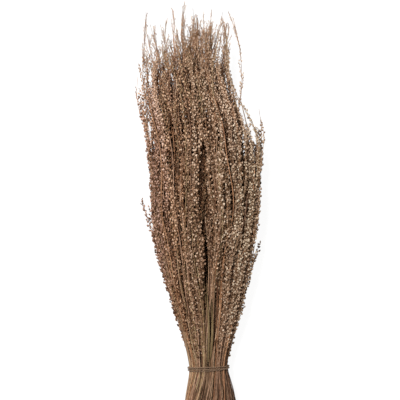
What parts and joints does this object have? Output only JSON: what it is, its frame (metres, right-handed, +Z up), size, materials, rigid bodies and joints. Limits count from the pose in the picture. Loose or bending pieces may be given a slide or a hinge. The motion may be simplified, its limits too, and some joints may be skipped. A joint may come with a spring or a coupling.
{
  "type": "bunch of dried flowers",
  "caption": "Bunch of dried, seed-bearing grass stems with slender upright seed heads, tied near the cut ends and lying on its side.",
  "frame": {"origin": "middle of the bunch's footprint, on the surface it lies on", "axes": "+Y along the bunch from the cut ends to the tips, +X to the right as seen from above with the tips away from the viewer, +Z up"},
  "size_m": [0.1912, 0.6978, 0.1103],
  "materials": {
    "stem": "matte",
    "seed_head": "matte",
    "leaf": "matte",
    "tie": "matte"
  },
  "bodies": {
    "root": {"stem_01": "stem", "stem_02": "stem", "stem_03": "stem", "stem_04": "stem", "stem_05": "stem", "stem_06": "stem", "stem_07": "stem", "stem_08": "stem", "stem_09": "stem", "stem_10": "stem", "stem_11": "stem", "stem_12": "stem", "stem_13": "stem", "stem_14": "stem", "stem_15": "stem", "stem_16": "stem", "stem_17": "stem", "stem_18": "stem", "stem_19": "stem", "stem_20": "stem", "stem_21": "stem", "stem_22": "stem", "stem_23": "stem", "stem_24": "stem", "stem_25": "stem", "stem_26": "stem", "stem_27": "stem", "stem_28": "stem", "seed_head_01": "seed_head", "seed_head_02": "seed_head", "seed_head_03": "seed_head", "seed_head_04": "seed_head", "seed_head_05": "seed_head", "seed_head_06": "seed_head", "seed_head_07": "seed_head", "seed_head_08": "seed_head", "seed_head_09": "seed_head", "seed_head_10": "seed_head", "seed_head_11": "seed_head", "seed_head_12": "seed_head", "seed_head_13": "seed_head", "seed_head_14": "seed_head", "seed_head_15": "seed_head", "seed_head_16": "seed_head", "seed_head_17": "seed_head", "seed_head_18": "seed_head", "seed_head_19": "seed_head", "seed_head_20": "seed_head", "seed_head_21": "seed_head", "seed_head_22": "seed_head", "seed_head_23": "seed_head", "seed_head_24": "seed_head", "seed_head_25": "seed_head", "seed_head_26": "seed_head", "seed_head_27": "seed_head", "seed_head_28": "seed_head", "leaf_blade_01": "leaf", "leaf_blade_02": "leaf", "tie_band": "tie"}
  },
  "joints": []
}
